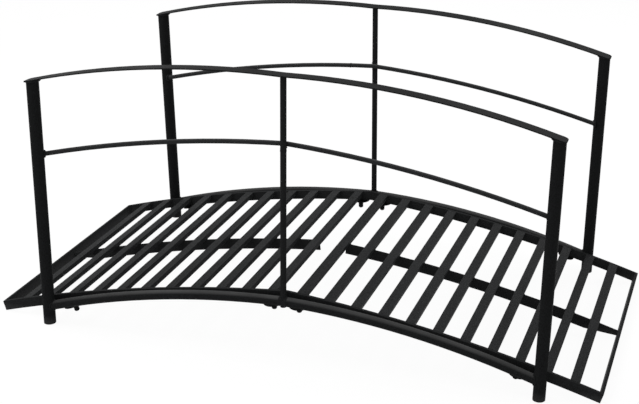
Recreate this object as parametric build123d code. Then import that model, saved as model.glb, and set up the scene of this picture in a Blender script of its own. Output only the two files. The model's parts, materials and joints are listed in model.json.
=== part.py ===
from build123d import *
import math
import os

# Arched metal garden bridge: a deck of two welded half frames that meet at mid span, and a
# bolted-on railing along each side. Millimetres, +Z up, +X along the span. The origin is on
# the ground, under the middle of the bridge.

# Deck: an arch with a slight peak where the two half frames meet
DECK_RADIUS = 4075.0        # of each half's side bars, along their top edge
DECK_PEAK = 4.79            # slope of each half at the middle, degrees
DECK_END_LIFT = 1.0         # of the lower edge of the deck's ends above the ground
DECK_WIDTH = 741.0          # over the side bars
DECK_HALF_LENGTH = 834.5    # along the top edge, from the joint to the end of the deck
SIDE_BAR_HEIGHT = 26.5
SIDE_BAR_THICKNESS = 8.0

# Slats: rectangular bars welded between the side bars, flush with their top edge
SLATS_PER_HALF = 11
SLAT_WIDTH = 25.0
SLAT_DEPTH = 12.0
JOINT_PITCH = 78.8          # between the two slats beside the joint
END_PITCH = 75.1            # from the last slat to the outer end of the deck

# Stringers: a flat bar on edge under the slats of each half, along the middle
STRINGER_HEIGHT = 30.0
STRINGER_THICKNESS = 4.0
STRINGER_START = 41.0       # from the joint, so that it ends under the last slat
STRINGER_TAPER = 88.0       # length over which its lower edge rises to that of the end bar

# Railings: each is a flat frame, built upright and leant inwards a little
RAIL_LEAN = 1.66            # inwards, degrees
RAIL_GAP = 7.0              # between a post and the side bar beside it
POST_DIAMETER = 32.0
POST_WALL = 1.5
POST_INSET = 153.0          # from the end of the deck, at the height of the crown
POST_SPLAY = 0.4            # outwards along the span, degrees
TOP_RAIL_APEX = 570.5       # top of the handrail at mid span, above the crown
TOP_RAIL_RADIUS = 2320.0
TOP_RAIL_PEAK = -1.54        # the handrail's two bends leave a slight dip between them
TOP_RAIL_WIDTH = 38.0
TOP_RAIL_THICKNESS = 3.0
TOP_RAIL_OVERHANG = 3.0     # past the outer side of each post
TOP_RAIL_CORNER = 11.0      # radius of the bar's corners, seen from above
MID_RAIL_APEX = 394.5       # centre line above the crown
MID_RAIL_RADIUS = 3168.0
MID_RAIL_PEAK = 2.99
MID_RAIL_DIAMETER = 12.2
MID_RAIL_LAP = 8.0          # of its notched ends onto the posts, along the span
FOOT_TUBE_APEX = -19.0      # centre line of the bottom tube at mid span, above the crown
FOOT_TUBE_DROP = 21.6       # of its centre line at the posts, below the deck's top edge
FOOT_TUBE_PEAK = 1.22
FOOT_TUBE_DIAMETER = 25.0
BALUSTER_DIAMETER = 15.6
BALUSTER_FOOT = -33.5       # lower end of the baluster, above the crown
BAR_END = 10.0              # straight length of a bent bar before it meets a post

# Lugs: round plates welded under the bottom tube. A stud under the side bar passes through
# each of them and is closed by a domed nut.
JOINT_LUG = 35.0            # from the joint to the first lug of each half
OUTER_LUG_SLAT = 9          # the slat beside which each half has its other lug
LUG_DIAMETER = 48.0
LUG_THICKNESS = 3.0
LUG_REACH = 9.0             # past the centre line of the tube, outwards
STUD_DIAMETER = 8.0
STUD_CLEARANCE = 0.2        # all round the stud in the lug
NUT_WIDTH = 14.0            # across the flats
NUT_HEIGHT = 15.0           # with its washer
DOME_HEIGHT = 6.0
DOME_TAPER = 32.0           # of the nut's closed end, degrees

# Clearances between pieces that are welded on the real bridge
WELD_GAP = 0.1              # round piece against round or curved piece
JOINT_GAP = 0.2             # between the two half frames


def arch_point(radius, peak, apex, s, depth):
    """Point of a half arch, s along it from mid span and depth below its top line."""
    start = math.radians(peak)
    angle = start + s / radius
    x = (radius - depth) * math.sin(angle) - radius * math.sin(start)
    z = (radius - depth) * math.cos(angle) - radius * math.cos(start) + apex
    return x, z


def arch_angle(radius, peak, s):
    """Slope of a half arch at s, in degrees, downwards to the right."""
    return peak + math.degrees(s / radius)


def arch_length(radius, peak, x):
    """Length along a half arch from mid span to where its top line is x out."""
    start = math.radians(peak)
    return radius * (math.asin(x / radius + math.sin(start)) - start)


def arch_strip(radius, peak, apex, start, end, top, bottom, thickness):
    """Curved flat bar on the right half, from depth top to depth bottom, centred on y = 0."""
    middle = (start + end) / 2
    upper = [arch_point(radius, peak, apex, s, top) for s in (start, middle, end)]
    lower = [arch_point(radius, peak, apex, s, bottom) for s in (end, middle, start)]
    with BuildSketch(Plane.XZ) as outline:
        with BuildLine():
            ThreePointArc(*upper)
            Line(upper[-1], lower[0])
            ThreePointArc(*lower)
            Line(lower[-1], upper[0])
        make_face()
    return extrude(outline.sketch, thickness / 2, both=True)


def right_of(x, shape):
    """The part of a shape beyond x along the span."""
    return split(shape, Plane.YZ.offset(x), keep=Keep.TOP)


def mirrored_x(shape):
    return mirror(shape, Plane.YZ)


def mirrored_y(shape):
    return mirror(shape, Plane.XZ)


def deck_height(x):
    """Height of the deck's top edge at x, above the crown."""
    s = arch_length(DECK_RADIUS, DECK_PEAK, x)
    return arch_point(DECK_RADIUS, DECK_PEAK, 0, s, 0)[1]


def rail_offset():
    """Distance of a railing from the bridge's middle plane, at the height of the crown.

    Lower down the railing stands further out. The posts pass the side bars below the crown.
    """
    post_side = POST_DIAMETER / 2 + deck_height(POST_OFFSET) * math.tan(math.radians(RAIL_LEAN))
    return DECK_WIDTH / 2 + RAIL_GAP + max(post_side, FOOT_TUBE_DIAMETER / 2)


def foot_tube_radius():
    """Radius that takes the bottom tube from its apex to its height at the posts."""
    fall = FOOT_TUBE_APEX - deck_height(POST_OFFSET) + FOOT_TUBE_DROP
    chord = math.hypot(POST_OFFSET, fall)
    half_turn = math.atan2(fall, POST_OFFSET) - math.radians(FOOT_TUBE_PEAK)
    return chord / (2 * math.sin(half_turn))


# The deck's own dimensions: where its end is, how high it stands, how its slats are spaced
DECK_END = arch_point(DECK_RADIUS, DECK_PEAK, 0, DECK_HALF_LENGTH, 0)[0]
LOWER_EDGE = arch_point(DECK_RADIUS, DECK_PEAK, 0, DECK_HALF_LENGTH, SIDE_BAR_HEIGHT)[1]
DECK_CROWN = DECK_END_LIFT - LOWER_EDGE
INSIDE_WIDTH = DECK_WIDTH - 2 * SIDE_BAR_THICKNESS
SLAT_PITCH = (DECK_HALF_LENGTH - END_PITCH - JOINT_PITCH / 2) / (SLATS_PER_HALF - 1)

# Where the railings stand, and the bend of their bottom tubes
POST_OFFSET = DECK_END - POST_INSET
RAIL_OFFSET = rail_offset()
FOOT_TUBE_RADIUS = foot_tube_radius()


def slat_station(number):
    """Distance of a slat's centre from the joint, along the deck; number 1 is beside it."""
    return JOINT_PITCH / 2 + (number - 1) * SLAT_PITCH


def deck_place(s, depth, y=0.0):
    """Frame on the right half of the deck: x along the deck, z out of it."""
    x, z = arch_point(DECK_RADIUS, DECK_PEAK, DECK_CROWN, s, depth)
    return Location((x, y, z), (0, arch_angle(DECK_RADIUS, DECK_PEAK, s), 0))


def side_bar():
    overlap = SIDE_BAR_HEIGHT
    bar = arch_strip(DECK_RADIUS, DECK_PEAK, DECK_CROWN, -overlap, DECK_HALF_LENGTH,
                     0, SIDE_BAR_HEIGHT, SIDE_BAR_THICKNESS)
    bar = right_of(JOINT_GAP / 2, bar)
    return Pos(0, -(DECK_WIDTH - SIDE_BAR_THICKNESS) / 2, 0) * bar


def end_bar():
    box = Box(SIDE_BAR_THICKNESS, INSIDE_WIDTH, SIDE_BAR_HEIGHT,
              align=(Align.MAX, Align.CENTER, Align.MAX))
    return deck_place(DECK_HALF_LENGTH, 0) * box


def slat(number):
    box = Box(SLAT_WIDTH, INSIDE_WIDTH, SLAT_DEPTH,
              align=(Align.CENTER, Align.CENTER, Align.MAX))
    return deck_place(slat_station(number), 0) * box


def stringer():
    """Flat bar with a straight tapered end, from under the first slat to the end bar."""
    end = DECK_HALF_LENGTH - SIDE_BAR_THICKNESS - WELD_GAP
    taper = end - STRINGER_TAPER
    bottom = SLAT_DEPTH + STRINGER_HEIGHT

    def point(s, depth):
        return arch_point(DECK_RADIUS, DECK_PEAK, DECK_CROWN, s, depth)

    upper = [point(s, SLAT_DEPTH) for s in (STRINGER_START, (STRINGER_START + end) / 2, end)]
    lower = [point(s, bottom) for s in (taper, (STRINGER_START + taper) / 2, STRINGER_START)]
    tip = point(end, SIDE_BAR_HEIGHT)
    with BuildSketch(Plane.XZ) as outline:
        with BuildLine():
            ThreePointArc(*upper)
            Line(upper[-1], tip)
            Line(tip, lower[0])
            ThreePointArc(*lower)
            Line(lower[-1], upper[0])
        make_face()
    return extrude(outline.sketch, STRINGER_THICKNESS / 2, both=True)


# Railing, built in the XZ plane with z measured from the ground below the crown

def lean(shape):
    """Move a piece of the upright railing to the front side and lean it inwards."""
    hinge = Location((0, -RAIL_OFFSET, DECK_CROWN), (-RAIL_LEAN, 0, 0))
    return hinge * Pos(0, 0, -DECK_CROWN) * shape


def post_axis():
    """Frame at the crown's height on a post's axis, z along the post."""
    return Location((POST_OFFSET, 0, DECK_CROWN), (0, POST_SPLAY, 0))


def post_solid(diameter, reach=1200.0):
    return post_axis() * Cylinder(diameter / 2, 2 * reach)


def rail_end_station(radius, peak, apex):
    """Length along a rail to the axis of the post."""
    x = POST_OFFSET
    for _ in range(6):
        s = arch_length(radius, peak, x)
        height = arch_point(radius, peak, apex, s, 0)[1]
        x = POST_OFFSET + height * math.tan(math.radians(POST_SPLAY))
    return s


def rail_place(radius, peak, apex, s):
    """Frame on a bent bar's centre line, x along the bar."""
    x, z = arch_point(radius, peak, apex + DECK_CROWN, s, 0)
    return Location((x, 0, z), (0, arch_angle(radius, peak, s), 0))


def round_bar(radius, peak, apex, start, end, diameter):
    """Round bar bent to a half arch; apex is its centre line at mid span."""
    profile = rail_place(radius, peak, apex, start) * (Plane.YZ * Circle(diameter / 2))
    centre_x = -radius * math.sin(math.radians(peak))
    centre_z = apex + DECK_CROWN - radius * math.cos(math.radians(peak))
    turn = Axis((centre_x, 0, centre_z), (0, 1, 0))
    return revolve(profile, turn, math.degrees((end - start) / radius))


def bar_end(radius, peak, apex, s, length, diameter):
    """Straight end of a bent bar, from s along it towards the post."""
    pin = Cylinder(diameter / 2, length, align=(Align.CENTER, Align.CENTER, Align.MIN))
    return rail_place(radius, peak, apex, s) * Rot(0, 90, 0) * pin


def top_rail_half():
    end = rail_end_station(TOP_RAIL_RADIUS, TOP_RAIL_PEAK, TOP_RAIL_APEX)
    end += POST_DIAMETER / 2 + TOP_RAIL_OVERHANG
    strip = arch_strip(TOP_RAIL_RADIUS, TOP_RAIL_PEAK, TOP_RAIL_APEX + DECK_CROWN,
                       -TOP_RAIL_THICKNESS, end, 0, TOP_RAIL_THICKNESS, TOP_RAIL_WIDTH)
    corners = strip.edges().filter_by(lambda e: abs(e.length - TOP_RAIL_THICKNESS) < 0.01)
    corners = corners.sort_by(Axis.X)[-2:]
    return right_of(0, fillet(corners, TOP_RAIL_CORNER))


def top_rail():
    half = top_rail_half()
    return half + mirrored_x(half)


def post():
    end = rail_end_station(TOP_RAIL_RADIUS, TOP_RAIL_PEAK, TOP_RAIL_APEX)
    x, z = arch_point(TOP_RAIL_RADIUS, TOP_RAIL_PEAK, TOP_RAIL_APEX + DECK_CROWN, end,
                      TOP_RAIL_THICKNESS + WELD_GAP)
    slope = arch_angle(TOP_RAIL_RADIUS, TOP_RAIL_PEAK, end)
    under_rail = Plane(Location((x, 0, z), (0, slope, 0)))
    tube = post_solid(POST_DIAMETER) - post_solid(POST_DIAMETER - 2 * POST_WALL)
    return split(tube, under_rail, keep=Keep.BOTTOM)


def cut_at_ground(shape):
    return split(shape, Plane.XY, keep=Keep.TOP)


def foot_tube():
    """Half of the bottom tube, from the baluster to its notched end on the post."""
    bend = (FOOT_TUBE_RADIUS, FOOT_TUBE_PEAK, FOOT_TUBE_APEX)
    post = rail_end_station(*bend)
    straight = post - POST_DIAMETER / 2 - BAR_END
    start = BALUSTER_DIAMETER / 2 + 3 * WELD_GAP
    tube = round_bar(*bend, start, straight, FOOT_TUBE_DIAMETER)
    end = bar_end(*bend, straight, post - straight, FOOT_TUBE_DIAMETER)
    return tube + (end - post_solid(POST_DIAMETER + 2 * WELD_GAP))


def baluster():
    rail_under = TOP_RAIL_APEX - TOP_RAIL_THICKNESS - WELD_GAP
    height = rail_under - BALUSTER_FOOT
    return Pos(0, 0, DECK_CROWN + BALUSTER_FOOT) * Cylinder(
        BALUSTER_DIAMETER / 2, height, align=(Align.CENTER, Align.CENTER, Align.MIN))


def mid_rail_half():
    """Middle rail on the inner side of the baluster, its end notched to lap onto the post."""
    bend = (MID_RAIL_RADIUS, MID_RAIL_PEAK, MID_RAIL_APEX)
    post = rail_end_station(*bend)
    straight = post - POST_DIAMETER / 2 - BAR_END
    bar = round_bar(*bend, -MID_RAIL_DIAMETER, straight, MID_RAIL_DIAMETER)
    end = bar_end(*bend, straight, post - straight, MID_RAIL_DIAMETER)
    lap_end = Plane(post_axis() * Pos(MID_RAIL_LAP - POST_DIAMETER / 2, 0, 0) * Rot(0, 90, 0))
    inset = (BALUSTER_DIAMETER + MID_RAIL_DIAMETER) / 2 + WELD_GAP
    beside = Pos(0, inset, 0) * (right_of(0, bar) + split(end, lap_end, keep=Keep.BOTTOM))
    return beside - post_solid(POST_DIAMETER + 2 * WELD_GAP)


def mid_rail():
    half = mid_rail_half()
    return half + mirrored_x(half)


# Fixings between the railings and the deck

def lug_place(station):
    """Frame on the upper face of a lug, under the side bar's middle: x along the tube."""
    deck_x = arch_point(DECK_RADIUS, DECK_PEAK, DECK_CROWN, station, 0)[0]
    s = arch_length(FOOT_TUBE_RADIUS, FOOT_TUBE_PEAK, deck_x)
    on_tube = rail_place(FOOT_TUBE_RADIUS, FOOT_TUBE_PEAK, FOOT_TUBE_APEX, s)
    drop = FOOT_TUBE_DIAMETER / 2 + WELD_GAP
    return Pos(0, -(DECK_WIDTH - SIDE_BAR_THICKNESS) / 2, 0) * on_tube * Pos(0, 0, -drop)


def stud_height(station):
    """Length of a stud above its lug, up to the lower edge of the side bar."""
    foot = lug_place(station)
    edge = deck_place(station, SIDE_BAR_HEIGHT)
    axis, normal = Plane(foot).z_dir, Plane(edge).z_dir
    tilt = axis.get_angle(normal)
    to_edge = (edge.position - foot.position).dot(normal) / axis.dot(normal)
    return to_edge - WELD_GAP - STUD_DIAMETER / 2 * math.tan(math.radians(tilt))


def lug(station):
    centre = RAIL_OFFSET + LUG_REACH - LUG_DIAMETER / 2
    inwards = (DECK_WIDTH - SIDE_BAR_THICKNESS) / 2 - centre
    under = (Align.CENTER, Align.CENTER, Align.MAX)
    plate = Pos(0, inwards, 0) * Cylinder(LUG_DIAMETER / 2, LUG_THICKNESS, align=under)
    hole = Cylinder(STUD_DIAMETER / 2 + STUD_CLEARANCE, LUG_THICKNESS, align=under)
    return lug_place(station) * (plate - hole)


def bolt(station):
    """Stud through a lug, with the washer and domed nut on the lug's underside."""
    section = RegularPolygon(NUT_WIDTH / 2, 6, major_radius=False)
    nut = extrude(section, -NUT_HEIGHT)
    closed_end = extrude(section, DOME_HEIGHT, dir=(0, 0, -1), taper=DOME_TAPER)
    shank = Cylinder(STUD_DIAMETER / 2, LUG_THICKNESS + stud_height(station),
                     align=(Align.CENTER, Align.CENTER, Align.MIN))
    return lug_place(station) * Pos(0, 0, -LUG_THICKNESS) * (
        shank + nut + Pos(0, 0, -NUT_HEIGHT) * closed_end)


def save(name, shape):
    solids = [solid for solid in shape.solids()]
    whole = solids[0] if len(solids) == 1 else Compound(children=solids)
    export_step(whole, f"parts/{name}.step")


def save_both_ends(name, shape):
    """One node for the right end as built and one for the left, mirrored."""
    save(f"{name}_right", shape)
    save(f"{name}_left", mirrored_x(shape))


def both_sides(front):
    """The front piece and its mirror image at the back, with their side's name."""
    return (("front", front), ("back", mirrored_y(front)))


os.makedirs("parts", exist_ok=True)

# Deck, half by half
for side, bar in both_sides(side_bar()):
    save_both_ends(f"side_bar_{side}", bar)
save_both_ends("end_bar", end_bar())
save_both_ends("stringer", stringer())
for number in range(1, SLATS_PER_HALF + 1):
    right = slat(number)
    save(f"slat_right_{number:02d}", right)
    save(f"slat_left_{number:02d}", mirrored_x(right))

# Railings
for side, tube in both_sides(cut_at_ground(lean(post()))):
    save_both_ends(f"post_{side}", tube)
for name, rail in (("top_rail", top_rail()), ("mid_rail", mid_rail())):
    for side, bar in both_sides(lean(rail)):
        save(f"{name}_{side}", bar)
for side, tube in both_sides(lean(foot_tube())):
    save(f"foot_tube_{side}", tube + mirrored_x(tube))
for side, bar in both_sides(lean(baluster())):
    save(f"baluster_{side}", bar)

# Lugs and bolts
lug_stations = (JOINT_LUG, slat_station(OUTER_LUG_SLAT))
front_lugs = Part() + [lug(station) for station in lug_stations]
for side, plates in both_sides(front_lugs):
    save(f"lugs_{side}", plates + mirrored_x(plates))
front_bolts = Part() + [bolt(station) for station in lug_stations]
for side, bolts in both_sides(front_bolts):
    save(f"bolts_{side}", bolts + mirrored_x(bolts))
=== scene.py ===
# %% [markdown]
# # A small arched garden bridge
#
# The bridge is welded and bolted together from steel bars and tubes: a slatted deck in two
# halves and a low railing along each side. Its bars and tubes already exist at their real size
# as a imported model. This lesson loads that model and gives it what the camera looks for: the
# powder coat, the welds, the cap nuts, the light and the viewpoint. Nothing that was packed is
# moved or resized.

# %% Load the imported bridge
import json
import math
import random

import bpy
from mathutils import Matrix, Vector


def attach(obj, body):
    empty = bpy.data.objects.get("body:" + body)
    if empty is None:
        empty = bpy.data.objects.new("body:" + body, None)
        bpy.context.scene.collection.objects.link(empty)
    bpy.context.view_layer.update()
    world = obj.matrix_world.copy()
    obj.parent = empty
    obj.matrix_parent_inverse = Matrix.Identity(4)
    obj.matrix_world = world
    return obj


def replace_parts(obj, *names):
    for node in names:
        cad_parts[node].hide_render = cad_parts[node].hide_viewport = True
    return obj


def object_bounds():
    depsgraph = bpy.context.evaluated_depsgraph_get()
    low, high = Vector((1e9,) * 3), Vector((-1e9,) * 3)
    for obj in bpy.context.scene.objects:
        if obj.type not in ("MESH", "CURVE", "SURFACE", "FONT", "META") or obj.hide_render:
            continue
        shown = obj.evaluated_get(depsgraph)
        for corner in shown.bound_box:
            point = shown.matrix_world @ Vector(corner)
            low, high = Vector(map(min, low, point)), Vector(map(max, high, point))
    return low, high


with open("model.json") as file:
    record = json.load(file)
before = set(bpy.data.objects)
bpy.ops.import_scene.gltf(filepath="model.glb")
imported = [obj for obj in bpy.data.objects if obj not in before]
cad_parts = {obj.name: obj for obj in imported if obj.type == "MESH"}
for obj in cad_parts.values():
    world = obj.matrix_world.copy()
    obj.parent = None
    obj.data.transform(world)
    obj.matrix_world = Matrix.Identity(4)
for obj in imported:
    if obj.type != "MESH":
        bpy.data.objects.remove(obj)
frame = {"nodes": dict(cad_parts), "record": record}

MM = 0.001
nodes = frame["nodes"]
packed_box = [list(corner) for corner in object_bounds()]
span, width, height = (Vector(packed_box[1]) - Vector(packed_box[0])) / MM
print(f"{len(nodes)} packed pieces, {span:.0f} x {width:.0f} x {height:.0f} mm over all")

# %% [markdown]
# ## Which bar is which
#
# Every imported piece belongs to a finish, and the record that comes with the model says which.
# Reading it there keeps this script and the model in step: a slat stays a slat even if its name
# changes. We gather the pieces by finish once and use the lists for the materials.

# %% Sort the pieces by finish
pieces_in = {}
for row in frame["record"]["subparts"]:
    pieces_in.setdefault(row["material_slot"], []).append(nodes[row["node"]])
for finish, members in sorted(pieces_in.items()):
    print(f"{finish}: {len(members)} pieces")


# %% [markdown]
# ## Black powder coat
#
# Powder coat is plastic dust that is baked until it flows. It never flows quite flat, so the
# skin has a fine orange-peel ripple of about a millimetre, and the pigment leaves a faint
# speckle. Where a hand or a boot rubs, the edges turn a little lighter. Whatever faces the sky
# turns paler too: partly dust, and on some round bars a painted highlight.
#
# An image texture would need unwrapped surfaces and would stretch along the long bars. Noise in
# the bridge's own coordinates needs neither, and it has the same grain on a 4 mm bar and on a
# tube. We build one coat as a function and vary its tone, gloss, dust and painted highlights for
# each finish.

# %% Two small helpers for the shaders
def shader_node(tree, kind, **sockets):
    """Add a node and set its unlinked inputs by name, with _ for the spaces."""
    node = tree.nodes.new(kind)
    for name, value in sockets.items():
        node.inputs[name.replace("_", " ")].default_value = value
    return node


def grey(level, tint=0.0):
    """A near-neutral colour; a positive tint leans it towards blue."""
    return (level * (1 - tint), level, level * (1 + tint), 1)


# %% [markdown]
# The grain is one noise that mixes two close greys. A finer noise shades the surface as if it
# rose and fell by hundredths of a millimetre, which is the orange peel. A third, much wider one
# keeps long bars from looking machine-perfect: it shifts gloss and dust from place to place.

# %% Noises, and how to spread their values
GRAIN = 420          # speckles per metre of the mixed greys on smooth bars
SLAT_GRAIN = 360     # and on the slats, whose coat is rougher underfoot
PEEL = 900           # ripples per metre of the orange peel
PATCHES = 9          # wide changes per metre
NOISE_RANGE = (0.3, 0.7)       # nearly all values of a noise lie between these


def noise(tree, place, scale, detail=2.0):
    """A noise in the bridge's own coordinates, so many grains to the metre."""
    texture = shader_node(tree, "ShaderNodeTexNoise", Scale=scale, Detail=detail)
    tree.links.new(place.outputs["Object"], texture.inputs["Vector"])
    return texture.outputs["Fac"]


def stretch(tree, value, low, high, to_low=0.0, to_high=1.0):
    """Map low..high to to_low..to_high and stop at the ends."""
    fit = shader_node(tree, "ShaderNodeMapRange", From_Min=low, From_Max=high,
                      To_Min=to_low, To_Max=to_high)
    tree.links.new(value, fit.inputs["Value"])
    return fit.outputs["Result"]


def vary(tree, value, least, most=1.0):
    """Spread the values of a noise over least..most."""
    return stretch(tree, value, *NOISE_RANGE, least, most)


# %% Mix colours and multiply masks
def blend_colours(tree, share, first, second):
    """Mix two colours, each a fixed colour or a socket."""
    mix = tree.nodes.new("ShaderNodeMix")
    mix.data_type = "RGBA"
    tree.links.new(share, mix.inputs["Factor"])
    # The node keeps sockets for every kind of value; 6 and 7 take the colours, 2 gives the mix.
    for socket, colour in ((mix.inputs[6], first), (mix.inputs[7], second)):
        if isinstance(colour, tuple):
            socket.default_value = colour
        else:
            tree.links.new(colour, socket)
    return mix.outputs[2]


def times(tree, first, second):
    """Multiply a socket by a number or by another socket."""
    product = tree.nodes.new("ShaderNodeMath")
    product.operation = "MULTIPLY"
    tree.links.new(first, product.inputs[0])
    if isinstance(second, float):
        product.inputs[1].default_value = second
    else:
        tree.links.new(second, product.inputs[1])
    return product.outputs["Value"]


# %% [markdown]
# Two masks come from the shape itself. The bevel node looks a millimetre round each point; where
# the rounded direction differs from the true one there is an edge, and edges are where coats
# wear. The height of the surface direction says what faces up; that gathers dust, and on some
# round bars the same mask paints a highlight. The lowest 26 millimetres are paler too.

# %% Masks for worn edges, and for dust and painted highlights
EDGE_ROUND = 1.3 * MM
EDGE_SAMPLES = 4
EDGE_STARTS, EDGE_FULL = 0.985, 0.86     # how alike the two directions are


def edge_mask(tree):
    """1 on an edge and 0 on a flat, with the rounded surface direction."""
    rounded = shader_node(tree, "ShaderNodeBevel", Radius=EDGE_ROUND)
    rounded.samples = EDGE_SAMPLES
    flat = tree.nodes.new("ShaderNodeNewGeometry")
    alike = tree.nodes.new("ShaderNodeVectorMath")
    alike.operation = "DOT_PRODUCT"
    tree.links.new(rounded.outputs["Normal"], alike.inputs[0])
    tree.links.new(flat.outputs["Normal"], alike.inputs[1])
    edge = stretch(tree, alike.outputs["Value"], EDGE_STARTS, EDGE_FULL)
    return edge, rounded.outputs["Normal"]


def height_part(tree, vector):
    """The upward part of a place or a direction."""
    split = tree.nodes.new("ShaderNodeSeparateXYZ")
    tree.links.new(vector, split.inputs["Vector"])
    return split.outputs["Z"]


def up_mask(tree, starts, full):
    """0 where the surface's upward part is starts or less, 1 where it is full or more."""
    flat = tree.nodes.new("ShaderNodeNewGeometry")
    return stretch(tree, height_part(tree, flat.outputs["Normal"]), starts, full)


# %% [markdown]
# The coat is built from the inside out: the two greys of the grain, then the pale grey on what
# faces up, which is dust and on some round bars a painted highlight, the paler band near the
# ground, and last the worn edges. Black powder coat hardly mirrors at all, so its sheen is set
# far below that of plain plastic.

# %% Put the coat together
GRAIN_RANGE = (0.35, 0.65)     # a narrow range of the noise gives the speckle its contrast
SPECKLE_TINT = 0.05
PALE_FOOT_TOP = 26 * MM           # how far up from the ground the coat turns paler
# how much paler the coat turns at the ground
PALE_FOOT = 0.30
# pale grey for dust, for the painted highlights on the round bars and for the band near the
# ground
PALE_GREY = grey(0.125)
WORN_GREY = grey(0.095)
PEEL_DEPTH = 0.12 * MM


def powder_coat(name, tone, speckle, rough, dust_and_highlight, wear, peel, sheen=0.010,
                grain_scale=GRAIN, dust_and_highlight_on=(0.55, 0.95)):
    """Black powder coat.

    tone and speckle are the two greys of the grain, and rough is the least and the most
    roughness. dust, wear and peel are strengths from 0 to 1. The first of them pales what faces
    up: settled dirt on some finishes, a painted highlight along the middle rails and bottom
    tubes.
    dust_and_highlight_on says how far a surface has to face up before that paling starts, and
    from where on it is full.
    """
    material = bpy.data.materials.new(name)
    material.use_nodes = True
    tree = material.node_tree
    tree.nodes.clear()
    place = tree.nodes.new("ShaderNodeTexCoord")
    grain = noise(tree, place, grain_scale, 3.0)
    patches = noise(tree, place, PATCHES)

    colour = blend_colours(tree, stretch(tree, grain, *GRAIN_RANGE), grey(tone),
                           grey(speckle, SPECKLE_TINT))
    # what faces up turns paler: a little dust where the strength is small, a painted highlight
    # along the middle rails and bottom tubes
    dust_and_highlight_share = times(tree, times(tree, up_mask(tree, *dust_and_highlight_on), vary(tree, patches, 0.6)), dust_and_highlight)
    colour = blend_colours(tree, dust_and_highlight_share, colour, PALE_GREY)
    # the coat turns paler towards the ground, over the lowest 26 millimetres
    low = stretch(tree, height_part(tree, place.outputs["Object"]), PALE_FOOT_TOP, 0.0, 0.0, PALE_FOOT)
    colour = blend_colours(tree, times(tree, low, vary(tree, grain, 0.6)), colour, PALE_GREY)
    edges, rounded = edge_mask(tree)
    worn = times(tree, times(tree, edges, vary(tree, grain, 0.4)), wear)
    colour = blend_colours(tree, worn, colour, WORN_GREY)

    ripple = shader_node(tree, "ShaderNodeBump", Strength=peel, Distance=PEEL_DEPTH)
    tree.links.new(noise(tree, place, PEEL), ripple.inputs["Height"])
    tree.links.new(rounded, ripple.inputs["Normal"])
    coat = tree.nodes.new("ShaderNodeBsdfPrincipled")
    coat.inputs["Specular IOR Level"].default_value = sheen
    tree.links.new(colour, coat.inputs["Base Color"])
    tree.links.new(vary(tree, patches, *rough), coat.inputs["Roughness"])
    tree.links.new(ripple.outputs["Normal"], coat.inputs["Normal"])
    out = tree.nodes.new("ShaderNodeOutputMaterial")
    tree.links.new(coat.outputs["BSDF"], out.inputs["Surface"])
    return material


# %% A coat for each finish
coats = {
    "frame_coat": powder_coat(
        "frame_coat", tone=0.0155, speckle=0.027, rough=(0.42, 0.52), dust_and_highlight=0.0, wear=0.25,
        peel=0.35, sheen=0.006),
    "slat_coat": powder_coat(
        "slat_coat", tone=0.0065, speckle=0.0315, rough=(0.50, 0.62), dust_and_highlight=0.05, wear=0.20,
        peel=0.55, sheen=0.020, grain_scale=SLAT_GRAIN),
    "railing_coat": powder_coat(
        "railing_coat", tone=0.010, speckle=0.018, rough=(0.36, 0.46), dust_and_highlight=0.0, wear=0.15,
        peel=0.30, sheen=0.0065),
    "bolt_coat": powder_coat(
        "bolt_coat", tone=0.012, speckle=0.020, rough=(0.34, 0.44), dust_and_highlight=0.02, wear=0.30,
        peel=0.20),
}
for finish, members in pieces_in.items():
    for piece in members:
        piece.data.materials.clear()
        piece.data.materials.append(coats[finish])
print("coats:", ", ".join(sorted(coats)))

# %% [markdown]
# The round bars' coats are a little greyer than the posts'. The middle rails' much lighter grey
# is painted light, and the pale line along their tops and along the upper flank of the bottom
# tubes is a painted highlight, drawn with the dust mask.

# %% Greyer coats for the round bars, with painted highlights
greyer = {
    # the middle rail's lighter grey and the pale line along its top are painted highlight
    "mid_rail": powder_coat(
        "railing_coat_middle_rail", tone=0.021, speckle=0.041, rough=(0.40, 0.50), dust_and_highlight=0.55,
        wear=0.15, peel=0.30),
    "baluster": powder_coat(
        "railing_coat_baluster", tone=0.0125, speckle=0.023, rough=(0.40, 0.50), dust_and_highlight=0.04,
        wear=0.15, peel=0.30),
    # the pale line along the bottom tube's upper flank is a painted highlight
    "foot_tube": powder_coat(
        "railing_coat_bottom_tube_highlight", tone=0.0115, speckle=0.0215, rough=(0.40, 0.50), dust_and_highlight=0.55,
        wear=0.15, peel=0.35, dust_and_highlight_on=(0.50, 0.85)),
}
for kind, coat in greyer.items():
    for side in ("front", "back"):
        nodes[f"{kind}_{side}"].data.materials[0] = coat
print("greyer:", ", ".join(sorted(greyer)))

# %% [markdown]
# ## Welds, plugs and cap nuts
#
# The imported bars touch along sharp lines. On the real bridge every joint is welded and then
# coated, so each line is a small rounded fillet. That rounding catches the light at every
# crossing, and it is what makes bars look joined rather than stacked.
#
# The beads follow the same lines as the bars, so we need the bars' bends once more. All lengths
# here are millimetres. A bent bar is an arc with a slope at mid span, and it is described for
# the right half only, because the left half is its mirror image.

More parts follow.
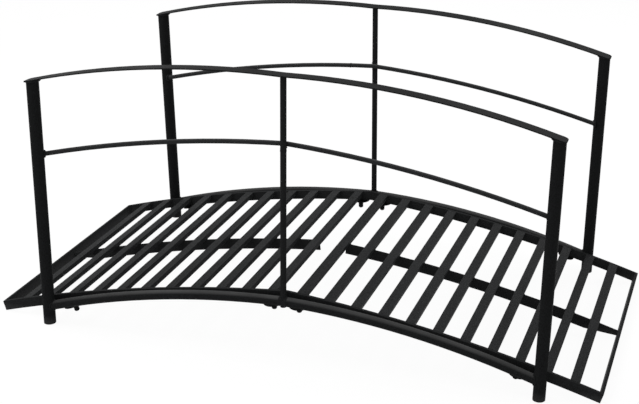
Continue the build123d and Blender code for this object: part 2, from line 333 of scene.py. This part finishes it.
# %% Measures that the welds follow
CROWN = 180.455                       # top of the deck at mid span, above the ground
LEAN = math.radians(1.66)             # of the railings, inwards
RAILING_OUT = 390.2575                # from the bridge's middle to a railing, at the crown
POST_X, SPLAY = 665.675, math.radians(0.4)     # a post's place and its tilt along the bridge
POST_R, BALUSTER_R, TUBE_R, MID_R = 16.0, 7.8, 12.5, 6.1
MID_INSET = 14.0                      # of the middle rail, inwards from the posts
HANDRAIL_THICK = 3.0
TOP_RAIL = (2320.0, -1.54, 570.5)     # bend radius, slope at mid span, height above the crown
MID_RAIL = (3168.0, 2.99, 394.5)
BOTTOM_TUBE = (2274.67, 1.22, -19.0)
DECK = (4075.0, 4.79, 0.0)
DECK_LENGTH, INSIDE = 834.5, 362.5    # half deck along its top; middle to side bar's inner face
SIDE_BAR_MIDDLE, SIDE_BAR_DEEP = 366.5, 26.5
SLAT_STATIONS = [39.4 + 72.0 * n for n in range(11)]
print(f"the deck's crown is {CROWN:.0f} mm high, and {2 * len(SLAT_STATIONS)} slats lie on it")


# %% Places along the bent bars
def bent(bar, s, depth=0.0):
    """x, z and slope on a bent bar's right half, s along it and depth below its line."""
    radius, peak, apex = bar
    start = math.radians(peak)
    slope = start + s / radius
    x = (radius - depth) * math.sin(slope) - radius * math.sin(start)
    z = (radius - depth) * math.cos(slope) - radius * math.cos(start) + apex + CROWN
    return x, z, slope


def station(bar, x):
    """How far along a bent bar its line reaches x."""
    radius, start = bar[0], math.radians(bar[1])
    return radius * (math.asin(x / radius + math.sin(start)) - start)


def post_axis(z):
    """x of the right posts' axis at a height."""
    return POST_X + (z - CROWN) * math.tan(SPLAY)


def on_railing(x, inward, z):
    """A point given in the upright railing, moved to the leaning one at the front."""
    up = z - CROWN
    return Vector((x, -RAILING_OUT + inward * math.cos(LEAN) + up * math.sin(LEAN),
                   CROWN + up * math.cos(LEAN) - inward * math.sin(LEAN)))


def on_deck(s, y, depth):
    """A point s along the deck and so deep below its top."""
    x, z, _ = bent(DECK, s, depth)
    return Vector((x, y, z))


# %% [markdown]
# A bead is a thin lumpy rod. Its thickness swells a little every two millimetres, like the
# overlapping puddles of a hand weld, and an open bead closes bluntly at both ends. Every bead
# is a list of points and a list of faces, so mirrored copies cost nothing but a sign.

# %% Beads of weld
RIPPLE = 2.2             # length of one puddle
SWELL, UNEVEN = 0.09, 0.05     # regular and random changes of the radius, as shares of it
BLUNT = 0.4              # a smaller power makes the open ends blunter
ROD_SIDES = 8
chance = random.Random(7)


def rod(path, thickness, closed=False):
    """Points and faces of a bead; thickness is its radius, one value or one per point."""
    radii = [thickness] * len(path) if isinstance(thickness, (int, float)) else thickness
    points, faces, travelled, side = [], [], 0.0, None
    count = len(path)
    for i, (centre, radius) in enumerate(zip(path, radii)):
        ahead_point = path[(i + 1) % count] if closed else path[min(i + 1, count - 1)]
        back_point = path[i - 1] if closed else path[max(i - 1, 0)]
        forward = (ahead_point - back_point).normalized()
        if side is None:
            side = forward.orthogonal()
        side = (side - forward * side.dot(forward)).normalized()
        other = forward.cross(side)
        travelled += (centre - back_point).length
        swell = (1 + SWELL * math.sin(travelled / RIPPLE * math.tau)
                 + chance.uniform(-UNEVEN, UNEVEN))
        if not closed:
            swell *= math.sin(math.pi * (0.5 + i) / count) ** BLUNT
        for k in range(ROD_SIDES):
            turn = math.tau * k / ROD_SIDES
            out = side * math.cos(turn) + other * math.sin(turn)
            points.append(centre + out * radius * swell)
    for i in range(count if closed else count - 1):
        a, b = i * ROD_SIDES, (i + 1) % count * ROD_SIDES
        for k in range(ROD_SIDES):
            n = (k + 1) % ROD_SIDES
            faces.append((a + k, a + n, b + n, b + k))
    if not closed:
        faces.append(tuple(reversed(range(ROD_SIDES))))
        faces.append(tuple(range(len(points) - ROD_SIDES, len(points))))
    return points, faces


# %% [markdown]
# Studs, washers and plugs are turned: a profile goes once round an axis. With six sides instead
# of thirty-two the same function makes the nut, and then its first corner is told where to point.

# %% Turned pieces
def turned(origin, axis, profile, sides=32, first_corner=None):
    """A turned piece: profile is (distance along the axis, radius), from one end to the other."""
    side = axis.orthogonal().normalized() if first_corner is None else first_corner
    other = axis.cross(side)
    points, faces = [], []
    for along, radius in profile:
        for k in range(sides):
            turn = math.tau * k / sides
            points.append(origin + axis * along
                          + (side * math.cos(turn) + other * math.sin(turn)) * radius)
    for i in range(0, (len(profile) - 1) * sides, sides):
        for k in range(sides):
            n = (k + 1) % sides
            faces.append((i + k, i + n, i + sides + n, i + sides + k))
    faces.append(tuple(reversed(range(sides))))
    faces.append(tuple(range(len(points) - sides, len(points))))
    return points, faces


# %% Mirror images, and one object from many parts
def mirrored(part, sign_x, sign_y):
    """A copy of a part with x or y turned round; its faces still look outwards."""
    points, faces = part
    moved = [Vector((p.x * sign_x, p.y * sign_y, p.z)) for p in points]
    if sign_x * sign_y < 0:
        faces = [tuple(reversed(face)) for face in faces]
    return moved, faces


def both_ends(parts):
    """The parts of the right end and their images at the left end."""
    return parts + [mirrored(part, -1, 1) for part in parts]


def to_back(parts):
    """The front railing's parts, moved to the back one."""
    return [mirrored(part, 1, -1) for part in parts]


def add_piece(name, parts, material):
    """One object from many closed parts, riding with the bridge."""
    points, faces = [], []
    for part_points, part_faces in parts:
        base = len(points)
        points += [p * MM for p in part_points]
        faces += [tuple(base + corner for corner in face) for face in part_faces]
    mesh = bpy.data.meshes.new(name)
    mesh.from_pydata(points, [], faces)
    mesh.polygons.foreach_set("use_smooth", [len(face) == 4 for face in faces])
    mesh.materials.append(material)
    piece = bpy.data.objects.new(name, mesh)
    bpy.context.scene.collection.objects.link(piece)
    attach(piece, "root")
    print(f"{name}: {len(parts)} parts, {len(faces)} faces")
    return piece


# %% [markdown]
# On the railing, rings of weld go round every joint: the bottom tube and the middle rail
# against the posts, and both kinds of upright against the underside of the flat handrail. A
# ring's centre line lies a part of the bead's radius off both surfaces, so the bead fills the
# corner instead of sitting in front of it.

# %% Lines where bars meet
FULL = [math.tau * k / 40 for k in range(40)]     # a full turn in forty steps
SHORT_OF_POST = 10.0           # where a bar is taken as straight, before the post's face
LEAST_REACH = 8.0              # of a ring's line from the post's axis
OFF_BAR, OFF_POST = 0.5, 0.4   # of a bead's radius
OFF_UPRIGHT, UNDER_RAIL = 0.3, 0.6


def reach_post(bar):
    """x, z and slope of a bar just short of the post."""
    x = POST_X
    for _ in range(6):
        s = station(bar, x)
        x = post_axis(bent(bar, s)[1])
    return bent(bar, s - POST_R - SHORT_OF_POST)


def ring_on_post(bar, radius, inset, bead):
    """The line where a round bar meets a post, as the centre line of a bead."""
    x0, z0, slope = reach_post(bar)
    line = []
    for turn in FULL:
        inward = inset + (radius + OFF_BAR * bead) * math.sin(turn)
        rise = (radius + OFF_BAR * bead) * math.cos(turn)
        face = math.sqrt(max(POST_R ** 2 - inward ** 2, LEAST_REACH ** 2))
        z = z0 + rise
        for _ in range(4):
            gap = post_axis(z) - face - OFF_POST * bead - x0 - rise * math.sin(slope)
            forward = gap / math.cos(slope)
            z = z0 + rise * math.cos(slope) - forward * math.sin(slope)
        x = x0 + rise * math.sin(slope) + forward * math.cos(slope)
        line.append(on_railing(x, inward, z))
    return line


def ring_under_rail(centre_x, radius, beads):
    """The line where an upright meets the handrail, low enough not to show above it."""
    line = []
    for turn, bead in zip(FULL, beads):
        x = centre_x + (radius + OFF_UPRIGHT * bead) * math.cos(turn)
        z = bent(TOP_RAIL, station(TOP_RAIL, abs(x)), HANDRAIL_THICK)[1]
        inward = (radius + OFF_UPRIGHT * bead) * math.sin(turn)
        line.append(on_railing(x, inward, z - UNDER_RAIL * bead))
    return line


# %% [markdown]
# Under the handrail the post's ring is thick towards mid span and thin towards the end, where
# the handrail stops soon after the post.

# %% Rings round the joints of posts and balusters
TUBE_BEAD, MID_BEAD, BALUSTER_BEAD = 1.9, 2.8, 2.2
POST_BEAD, POST_FLARE = 2.8, 1.5
RAIL_FALL = 80                 # of the handrail, from mid span to a post

post_top = post_axis(CROWN + TOP_RAIL[2] - RAIL_FALL)
flared = [POST_BEAD - POST_FLARE * math.cos(turn) for turn in FULL]
railing_welds = both_ends([
    rod(ring_on_post(BOTTOM_TUBE, TUBE_R, 0.0, TUBE_BEAD), TUBE_BEAD, closed=True),
    rod(ring_on_post(MID_RAIL, MID_R, MID_INSET, MID_BEAD), MID_BEAD, closed=True),
    rod(ring_under_rail(post_top, POST_R, flared), flared, closed=True),
])
even = [BALUSTER_BEAD] * len(FULL)
railing_welds.append(rod(ring_under_rail(0.0, BALUSTER_R, even), even, closed=True))

# %% [markdown]
# The bottom tube stops at the baluster on both sides. The gap is filled with weld and ground to
# a saddle, which is a turned piece along the tube, and a ring closes the corner to the baluster.

# %% The saddle at the baluster's foot
SADDLE_END_R = 12.2
SADDLE = ((-11.5, SADDLE_END_R), (-10.6, 12.9), (-9.2, 13.2), (-7.2, 12.6), (-4.0, 11.9),
          (0.0, 11.6), (4.0, 11.9), (7.2, 12.6), (9.2, 13.2), (10.6, 12.9), (11.5, SADDLE_END_R))
SADDLE_RING, SADDLE_BEAD = BALUSTER_R + 0.6, 2.0

tube_height = CROWN + BOTTOM_TUBE[2]
railing_welds.append(turned(on_railing(0, 0, tube_height), Vector((1, 0, 0)), SADDLE, 40))
saddle_line = []
for turn in FULL:
    x, inward = SADDLE_RING * math.cos(turn), SADDLE_RING * math.sin(turn)
    rise = math.sqrt(SADDLE_END_R ** 2 - inward ** 2)
    saddle_line.append(on_railing(x, inward, tube_height + rise))
railing_welds.append(rod(saddle_line, SADDLE_BEAD, closed=True))

# %% [markdown]
# The middle rail passes the baluster on its inner side. A bead lies in the corner above and
# below it, and three thin rings on the baluster are the ripples that ran down while it was hot.

# %% The crossing of the middle rail
CROSSING_R, CROSSING_RISE, CROSSING_BEAD = 8.6, 6.3, 2.3
RUN_R, RUN_FALLS, RUN_BEAD = 7.5, (9.5, 12.6, 15.4), 0.9


def round_baluster(radius, height, turns):
    """A line round the baluster at one height."""
    return [on_railing(radius * math.cos(turn), radius * math.sin(turn), height)
            for turn in turns]


mid_height = CROWN + MID_RAIL[2]
inner_side = [math.radians(angle) for angle in range(18, 163, 8)]
for rise in (-CROSSING_RISE, CROSSING_RISE):
    line = round_baluster(CROSSING_R, mid_height + rise, inner_side)
    railing_welds.append(rod(line, CROSSING_BEAD))
for fall in RUN_FALLS:
    line = round_baluster(RUN_R, mid_height - fall, FULL)
    railing_welds.append(rod(line, RUN_BEAD, closed=True))

# %% [markdown]
# Under the bottom tube sit the lugs, round plates with a bead along both flanks of the tube.
# Each lug takes a stud that hangs from the side bar, so a lug is placed by the deck and tilted
# by the tube.

# %% Weld the lugs
LUG_STATIONS = (35.0, SLAT_STATIONS[8])
LUG_R, LUG_THICK, LUG_GAP = 24.0, 3.0, 0.1
LUG_PAST = 9                   # how far a lug reaches past the tube's middle, outwards
FLANK, FLANK_RISE, FLANK_BEAD, FLANK_STEPS = 6.8, 1.3, 2.0, 12
FLANK_SHORT = 1.5              # a bead stops this far inside the lug's rim


def lug_frame(s):
    """Place of a stud at the lug's upper face, its axis, and the direction of the tube."""
    x = bent(DECK, s)[0]
    tube_x, tube_z, slope = bent(BOTTOM_TUBE, station(BOTTOM_TUBE, x))
    axis = Vector((math.sin(slope), 0, math.cos(slope)))
    tube_way = Vector((math.cos(slope), 0, -math.sin(slope)))
    middle_of_tube = Vector((tube_x, -SIDE_BAR_MIDDLE, tube_z))
    return middle_of_tube - axis * (TUBE_R + LUG_GAP), axis, tube_way


lug_welds = []
for s in LUG_STATIONS:
    place, axis, tube_way = lug_frame(s)
    for aside in (-FLANK, FLANK):
        y = -RAILING_OUT + aside
        start = Vector((place.x, y, place.z)) + axis * FLANK_RISE
        half = math.sqrt(LUG_R ** 2 - (y + RAILING_OUT + LUG_PAST - LUG_R) ** 2) - FLANK_SHORT
        line = [start + tube_way * (half * t / FLANK_STEPS)
                for t in range(-FLANK_STEPS, FLANK_STEPS + 1)]
        lug_welds.append(rod(line, FLANK_BEAD))
railing_welds += both_ends(lug_welds)

# %% [markdown]
# The back rails were spliced a little left of the middle. The ground-down weld still shows as a
# small nub on the middle rail and as a ridge under the handrail.

# %% Splices in the back rails, and the finished welds
SPLICE_AT = 70.0
SPLICE_BEAD = 1.1
RIDGE_BEAD, RIDGE_SINK, RIDGE_HALF = 1.6, 0.5, 18

x, z, slope = bent(MID_RAIL, SPLICE_AT)
line = [on_railing(-x + MID_R * math.cos(turn) * math.sin(slope),
                   MID_INSET + MID_R * math.sin(turn),
                   z + MID_R * math.cos(turn) * math.cos(slope)) for turn in FULL]
splices = [rod(line, SPLICE_BEAD, closed=True)]
x, z, _ = bent(TOP_RAIL, SPLICE_AT, HANDRAIL_THICK)
ridge = range(-RIDGE_HALF, RIDGE_HALF + 1, 2)
splices.append(rod([on_railing(-x, inward, z - RIDGE_SINK) for inward in ridge], RIDGE_BEAD))
for side, parts in (("front", railing_welds), ("back", to_back(railing_welds + splices))):
    add_piece(f"railing_welds_{side}", parts, greyer["baluster"])


# %% [markdown]
# In the deck, each slat is welded to the side bars at its corners. Those small fillets round off
# every opening between the slats. The stringer is tacked to each slat that it passes, and the
# end bar sits between the side bars with a longer bead in both corners.

# %% Weld the deck
def down_deck(s, y, top, step, count, bead):
    """A bead that runs straight down in the deck, from a depth of top."""
    return rod([on_deck(s, y, top + step * n) for n in range(count)], bead)


FILLET_OUT = 13.1              # from a slat's middle to the fillets at its corners
FILLET_IN, END_IN = 0.6, 0.8   # from the side bar's face to a bead's centre line
TACK_SHARE = 0.98              # of FILLET_OUT, for the tacks of the stringer
TACK_SIDE, END_TACK_SIDE = 2.4, 2.6      # from the stringer's middle
STRINGER_START = 41.0          # no tack hangs where the stringer hasn't begun
END_FACE, END_TACK_FACE = 8.9, 8.8       # from the deck's end to the end bar's inner corners

deck_welds = []
for s in SLAT_STATIONS:
    for edge in (-FILLET_OUT, FILLET_OUT):
        for y in (-INSIDE + FILLET_IN, INSIDE - FILLET_IN):
            deck_welds.append(down_deck(s + edge, y, top=1.2, step=1.2, count=10, bead=2.5))
        for y in (-TACK_SIDE, TACK_SIDE) if s + edge > STRINGER_START else ():
            deck_welds.append(down_deck(s + edge * TACK_SHARE, y, top=10.5, step=1.0, count=5,
                                        bead=1.8))
for y in (-INSIDE + END_IN, INSIDE - END_IN):
    deck_welds.append(down_deck(DECK_LENGTH - END_FACE, y, top=1.8, step=1.2, count=20,
                                bead=2.8))
for y in (-END_TACK_SIDE, END_TACK_SIDE):
    deck_welds.append(down_deck(DECK_LENGTH - END_TACK_FACE, y, top=13.0, step=1.2, count=10,
                                bead=2.0))
add_piece("deck_welds", both_ends(deck_welds), coats["frame_coat"])

# %% [markdown]
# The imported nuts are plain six-sided blocks with a tapered end. Real cap nuts have a washer,
# chamfered corners and a smooth dome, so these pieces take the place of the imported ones. The
# stud widens a little where it is welded to the side bar.

# %% Shapes of a cap nut, as distance below the lug and radius
WASHER = ((0.0, 7.6), (0.3, 7.9), (1.2, 7.9), (1.5, 7.6))
NUT = ((1.5, 7.0), (2.3, 7.7), (7.6, 7.7), (8.6, 6.9))     # here the radius is to the corners
DOME_START, DOME_R, DOME_HIGH = 15.8, 7.0, 5.0
DOME = [(8.2, 6.9), (9.0, DOME_R), (DOME_START, DOME_R)]
for angle in range(10, 91, 10):
    rise, out = math.sin(math.radians(angle)), math.cos(math.radians(angle))
    DOME.append((DOME_START + DOME_HIGH * rise, DOME_R * out + 0.02))

# %% Cap nuts
STUD_R, ROOT_R, ROOT_HIGH = 4.0, 4.6, 1.4
BELOW_BAR = 0.6


def cap_nut(s):
    """Stud, washer, six-sided nut and dome of one fixing, each a closed piece."""
    place, axis, tube_way = lug_frame(s)
    bar_x, bar_z, bar_slope = bent(DECK, s, SIDE_BAR_DEEP)
    normal = Vector((math.sin(bar_slope), 0, math.cos(bar_slope)))
    to_bar = Vector((bar_x, place.y, bar_z)) - place
    top = to_bar.dot(normal) / axis.dot(normal) - BELOW_BAR + LUG_THICK
    under = place - axis * LUG_THICK
    stud = ((0.0, STUD_R), (top - ROOT_HIGH, STUD_R), (top - 0.4, 4.5), (top, ROOT_R))
    return [turned(under, axis, stud, 24), turned(under, -axis, WASHER),
            turned(under, -axis, NUT, 6, tube_way), turned(under, -axis, DOME)]


nuts = both_ends([part for s in LUG_STATIONS for part in cap_nut(s)])
for side, parts in (("front", nuts), ("back", to_back(nuts))):
    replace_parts(add_piece(f"cap_nuts_{side}", parts, coats["bolt_coat"]), f"bolts_{side}")

# %% [markdown]
# A plastic plug closes each post from below, set back by half a millimetre so that the tube and
# not the plug stands on the ground.

# %% Plugs in the posts
PLUG = ((0.5, 10.0), (0.5, 13.2), (1.2, 14.3), (9.0, 14.3), (9.6, 13.6))

foot = on_railing(post_axis(0), 0, 0)
post_way = (on_railing(post_axis(100), 0, 100) - foot).normalized()
foot -= post_way * (foot.z / post_way.z)
plugs = both_ends([turned(foot, post_way, PLUG, 40)])
add_piece("post_plugs", plugs + to_back(plugs), coats["bolt_coat"])

# %% [markdown]
# ## The room
#
# The bridge was photographed alone against white. A white room that shines on the object would
# turn black steel grey, so the white is only for the eye: camera and mirror rays see white, and
# the light that falls on the bridge comes from a surround of half that strength and from two
# soft lamps.

# %% White surround that lights at half strength
AMBIENT = 0.52

world = bpy.data.worlds.new("surround")
bpy.context.scene.world = world
world.use_nodes = True
tree = world.node_tree
tree.nodes.clear()


def seen_rays(tree):
    """1 for rays that come straight from the camera, a reflection or a glass."""
    path = tree.nodes.new("ShaderNodeLightPath")
    total = path.outputs["Is Camera Ray"]
    for name in ("Is Glossy Ray", "Is Transmission Ray"):
        add = tree.nodes.new("ShaderNodeMath")
        add.operation = "MAXIMUM"
        tree.links.new(total, add.inputs[0])
        tree.links.new(path.outputs[name], add.inputs[1])
        total = add.outputs["Value"]
    return total


shine = shader_node(tree, "ShaderNodeBackground", Color=(1, 1, 1, 1))
tree.links.new(stretch(tree, seen_rays(tree), 0, 1, AMBIENT, 1.0), shine.inputs["Strength"])
out = tree.nodes.new("ShaderNodeOutputWorld")
tree.links.new(shine.outputs["Background"], out.inputs["Surface"])
print(f"the surround lights at {AMBIENT:.0%}")

# %% [markdown]
# The floor glows white for the camera and mixes in a small share of a plain lit surface, and
# that share carries the shadow. The glow is a little over white to make up for it. The floor
# lies a hair below the ground, so it never cuts into the feet.

# %% A white floor that keeps a trace of the shadow
FLOOR_HALF = 12.0
FLOOR_DROP = 0.4 * MM
SHADOW_SHARE = 0.12
FLOOR_GLOW = 1.06

floor_mesh = bpy.data.meshes.new("floor")
corners = [(-FLOOR_HALF, -FLOOR_HALF, 0), (FLOOR_HALF, -FLOOR_HALF, 0),
           (FLOOR_HALF, FLOOR_HALF, 0), (-FLOOR_HALF, FLOOR_HALF, 0)]
floor_mesh.from_pydata(corners, [], [(0, 1, 2, 3)])
floor = bpy.data.objects.new("floor", floor_mesh)
bpy.context.scene.collection.objects.link(floor)
floor.location.z = -FLOOR_DROP

white = bpy.data.materials.new("white_floor")
white.use_nodes = True
tree = white.node_tree
tree.nodes.clear()
lit = shader_node(tree, "ShaderNodeBsdfDiffuse", Color=grey(0.8))
glow = shader_node(tree, "ShaderNodeEmission", Color=(1, 1, 1, 1), Strength=FLOOR_GLOW)
both = tree.nodes.new("ShaderNodeMixShader")
tree.links.new(stretch(tree, seen_rays(tree), 0, 1, 0.0, 1 - SHADOW_SHARE), both.inputs["Fac"])
tree.links.new(lit.outputs["BSDF"], both.inputs[1])
tree.links.new(glow.outputs["Emission"], both.inputs[2])
out = tree.nodes.new("ShaderNodeOutputMaterial")
tree.links.new(both.outputs["Shader"], out.inputs["Surface"])
floor_mesh.materials.append(white)

# %% [markdown]
# Two soft lamps shape the bars. The larger one stands high at the left and draws the pale lines
# along rails and slats. The other shines from behind, so that the slats' back ends turn paler,
# as in the photograph.

# %% Soft lamps
MIDDLE = Vector((0, 0, 0.3))


def softbox(name, place, size, power):
    """A square soft lamp that looks at the middle of the bridge."""
    light = bpy.data.lights.new(name, "AREA")
    light.shape = "SQUARE"
    light.size = size
    light.energy = power
    lamp = bpy.data.objects.new(name, light)
    bpy.context.scene.collection.objects.link(lamp)
    lamp.location = place
    lamp.rotation_euler = (MIDDLE - Vector(place)).to_track_quat("-Z", "Y").to_euler()
    print(f"{name}: {power} W, {size} m wide")


softbox("key_softbox", (-2.2, -0.6, 3.2), size=2.4, power=58)
softbox("back_softbox", (0.8, 2.6, 2.4), size=2.0, power=20)

# %% [markdown]
# ## The viewpoint
#
# The lens, the place and the tilt of the camera were worked out from the photograph: the known
# straight and round bars of the bridge give enough lines to solve for them. The camera stands to
# the right of the middle at head height, looks to the left and down, and is tilted a little.
# The photograph is cropped off centre, which the shift of the lens repeats.

# %% Where the camera stands and looks
PHOTO = Vector((639, 404))            # pixels
PRINCIPAL = Vector((423.1, 202.0))    # where the lens axis meets the photograph, pixels
FOCAL = 1314.2                        # pixels
EYE = Vector((1.0739, -3.1953, 1.6295))
TURN, DIP, ROLL = (math.radians(angle) for angle in (14.365, 21.690, 1.771))

ahead = Vector((-math.sin(TURN) * math.cos(DIP), math.cos(TURN) * math.cos(DIP), -math.sin(DIP)))
level = Vector((math.cos(TURN), math.sin(TURN), 0))
above = level.cross(ahead)
right = level * math.cos(ROLL) + above * math.sin(ROLL)
up = right.cross(ahead)

# %% Camera
NEAR, FAR = 0.05, 60                  # metres that the lens sees

lens = bpy.data.cameras.new("viewpoint")
lens.sensor_width = 36
lens.lens = FOCAL / PHOTO.x * lens.sensor_width
lens.shift_x = (PHOTO.x / 2 - PRINCIPAL.x) / PHOTO.x
lens.shift_y = (PRINCIPAL.y - PHOTO.y / 2) / PHOTO.x
lens.clip_start, lens.clip_end = NEAR, FAR
camera = bpy.data.objects.new("viewpoint", lens)
bpy.context.scene.collection.objects.link(camera)
camera.matrix_world = Matrix.Translation(EYE) @ Matrix((right, up, -ahead)).transposed().to_4x4()
bpy.context.scene.camera = camera
print(f"lens {lens.lens:.1f} mm, shift {lens.shift_x:.3f}, {lens.shift_y:.3f}")

# %% Light and colour of the picture
bpy.context.scene.view_settings.view_transform = "Standard"
